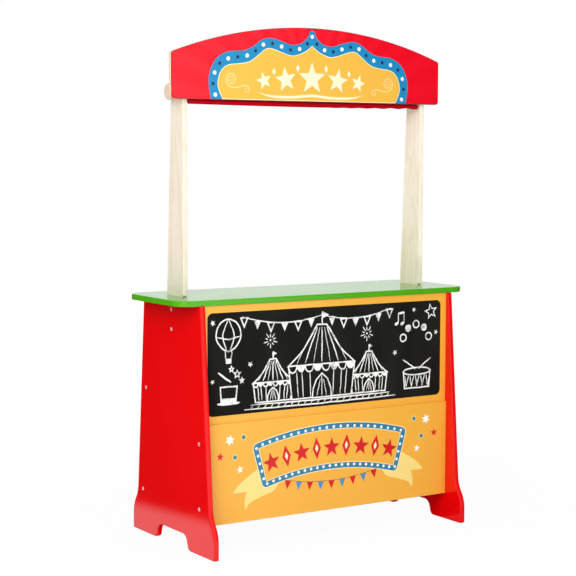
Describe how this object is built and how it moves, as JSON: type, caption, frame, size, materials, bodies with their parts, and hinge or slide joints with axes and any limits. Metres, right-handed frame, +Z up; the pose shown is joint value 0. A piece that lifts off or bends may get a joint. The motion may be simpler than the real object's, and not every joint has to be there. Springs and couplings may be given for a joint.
{
  "type": "puppet theater stand",
  "caption": "Child's puppet theater stand: painted counter on flared side boards, chalkboard front, shelves behind, and an arched header on two posts that hides a roll-up curtain.",
  "frame": {"origin": "on the floor, midway between the two side boards and midway between the front and back toes of their feet", "axes": "+Z up; the painted front with the chalkboard faces -Y; +X to the right as seen from the front"},
  "size_m": [0.716, 0.348, 1.063],
  "materials": {
    "red_paint": "gloss red paint on fibreboard",
    "green_paint": "gloss green paint on fibreboard",
    "yellow_paint": "satin yellow paint on fibreboard",
    "header_paint": "printed red front, pale lacquered edges, fibreboard",
    "chalkboard": "matte chalkboard paint with a yellow border, thin board",
    "pale_wood": "clear lacquered pale solid wood",
    "red_cloth": "plain woven dark red cloth",
    "zinc": "bright zinc plating"
  },
  "bodies": {
    "stand": {"side_board_left": "red_paint", "side_board_right": "red_paint", "counter_top": "green_paint", "lower_front_board": "yellow_paint", "bottom_shelf": "yellow_paint", "middle_shelf": "yellow_paint", "header_board": "header_paint", "chalkboard_panel": "chalkboard", "post_left": "pale_wood", "post_right": "pale_wood", "bottom_shelf_dowel_left": "pale_wood", "bottom_shelf_dowel_right": "pale_wood", "middle_shelf_dowel_left": "pale_wood", "middle_shelf_dowel_right": "pale_wood", "counter_dowel_left_front": "pale_wood", "counter_dowel_left_back": "pale_wood", "counter_dowel_right_front": "pale_wood", "counter_dowel_right_back": "pale_wood", "post_upper_screw_left": "zinc", "post_lower_screw_left": "zinc", "bottom_shelf_screw_left": "zinc", "middle_shelf_screw_left": "zinc", "front_upper_screw_left": "zinc", "front_lower_screw_left": "zinc", "post_upper_screw_right": "zinc", "post_lower_screw_right": "zinc", "bottom_shelf_screw_right": "zinc", "middle_shelf_screw_right": "zinc", "front_upper_screw_right": "zinc", "front_lower_screw_right": "zinc", "header_screw_lower_left": "zinc", "header_screw_upper_left": "zinc", "header_screw_lower_right": "zinc", "header_screw_upper_right": "zinc", "cam_lock_left_front": "zinc", "cam_lock_left_back": "zinc", "cam_lock_right_front": "zinc", "cam_lock_right_back": "zinc", "cam_bolt_left_front": "zinc", "cam_bolt_left_back": "zinc", "cam_bolt_right_front": "zinc", "cam_bolt_right_back": "zinc"},
    "roller": {"curtain_rod": "pale_wood", "rod_knob_left": "pale_wood", "rod_knob_right": "pale_wood", "curtain_roll": "red_cloth"},
    "hem": {"curtain_hem": "red_cloth", "hem_bar": "pale_wood", "curtain_drop": "red_cloth"}
  },
  "joints": [
    {"name": "roller_turn", "type": "hinge", "parent": "stand", "child": "roller", "pos_m": [0, -0.001, 0.9255], "axis": [1, 0, 0], "range_deg": [0, 921]},
    {"name": "hem_drop", "type": "slide", "parent": "stand", "child": "hem", "axis": [0, 0, -1], "range_m": [0, 0.386], "deforming": ["curtain_drop"]}
  ],
  "couplings": [
    {"joint": "hem_drop", "follows": "roller_turn", "m_per_rad": 0.024}
  ]
}
